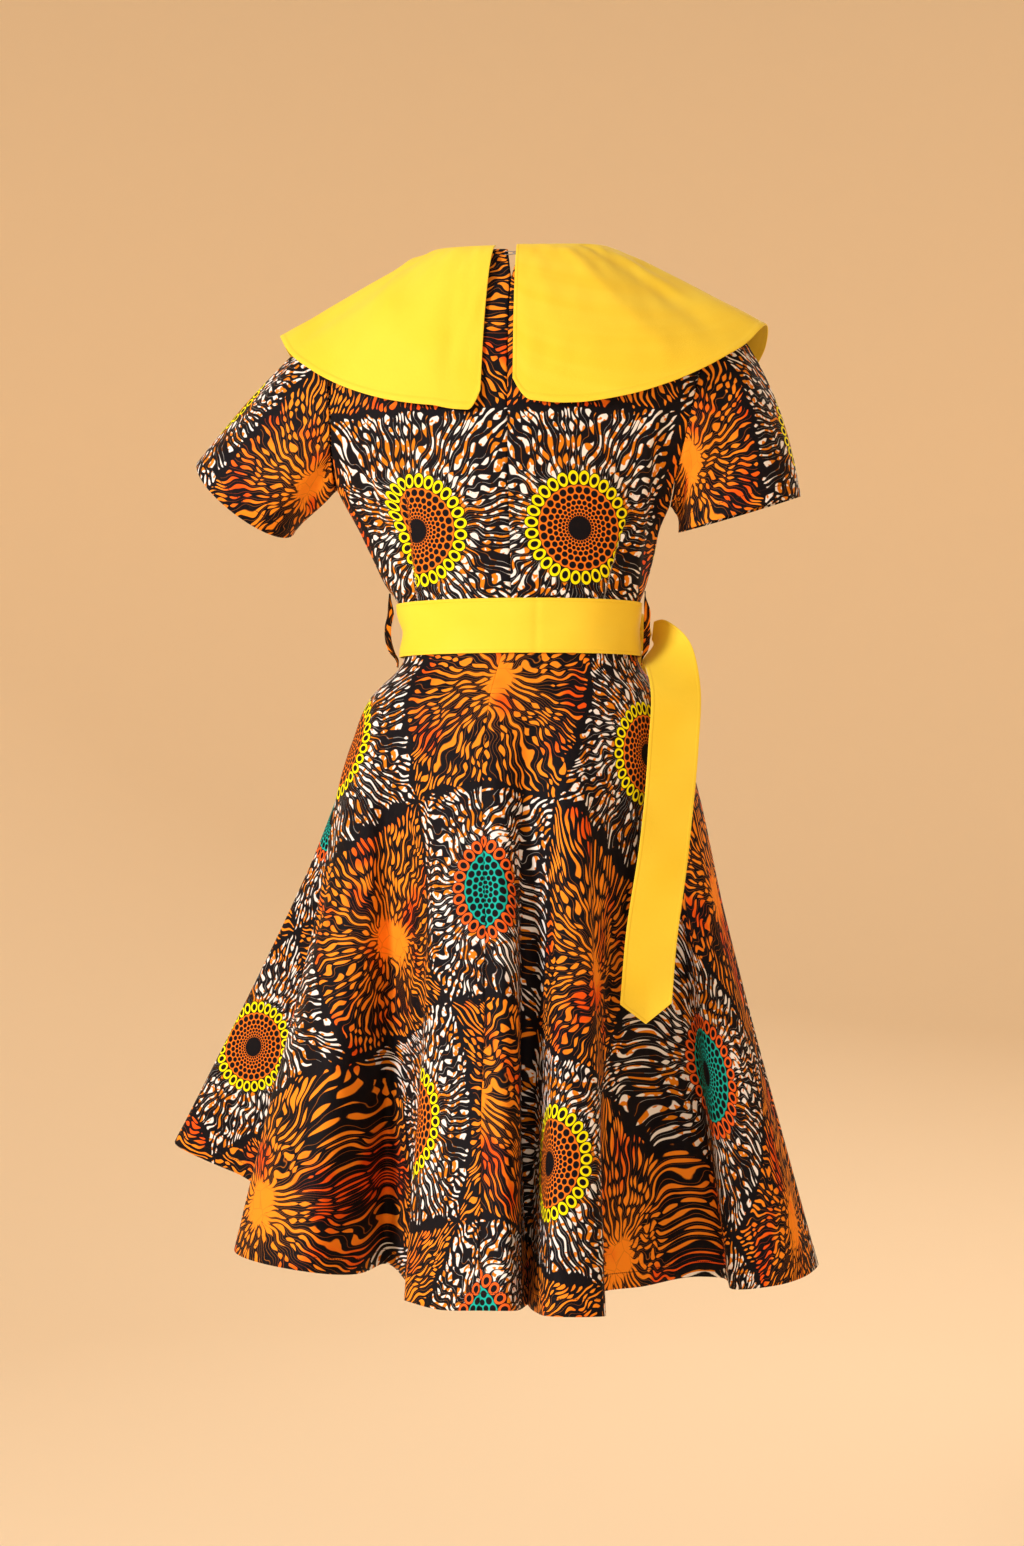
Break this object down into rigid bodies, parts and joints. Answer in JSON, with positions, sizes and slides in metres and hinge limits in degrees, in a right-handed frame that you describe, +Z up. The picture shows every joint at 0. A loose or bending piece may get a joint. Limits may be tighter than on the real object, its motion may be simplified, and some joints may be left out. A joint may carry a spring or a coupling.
{
  "type": "ankara wax print dress",
  "caption": "Knee-length short-sleeved dress in hollow worn form, with a cape collar, a tied sash, belt carriers and a flared half-circle skirt.",
  "frame": {"origin": "midway between the two neck ends of the shoulder seams, where the wearer's shoulders carry the dress", "axes": "+Z up, +Y towards the front of the dress, +X towards the wearer's right"},
  "size_m": [0.7324, 0.6137, 1.0764],
  "materials": {
    "print_cotton": "plain-woven cotton with an orange, white, yellow, teal and black wax print, faint sheen",
    "yellow_cotton": "plain-woven bright yellow cotton, matt with a faint sheen",
    "zip_tape": "dark woven zip tape"
  },
  "bodies": {
    "root": {"bodice_back_left": "print_cotton", "bodice_back_right": "print_cotton", "bodice_front": "print_cotton", "sleeve_left": "print_cotton", "sleeve_right": "print_cotton", "skirt_back_left": "print_cotton", "skirt_back_right": "print_cotton", "skirt_front": "print_cotton", "collar": "yellow_cotton", "belt_band": "yellow_cotton", "belt_knot": "yellow_cotton", "belt_tail_back": "yellow_cotton", "belt_tail_front": "yellow_cotton", "belt_carrier_left": "print_cotton", "belt_carrier_right": "print_cotton", "back_zip": "zip_tape"}
  },
  "joints": []
}
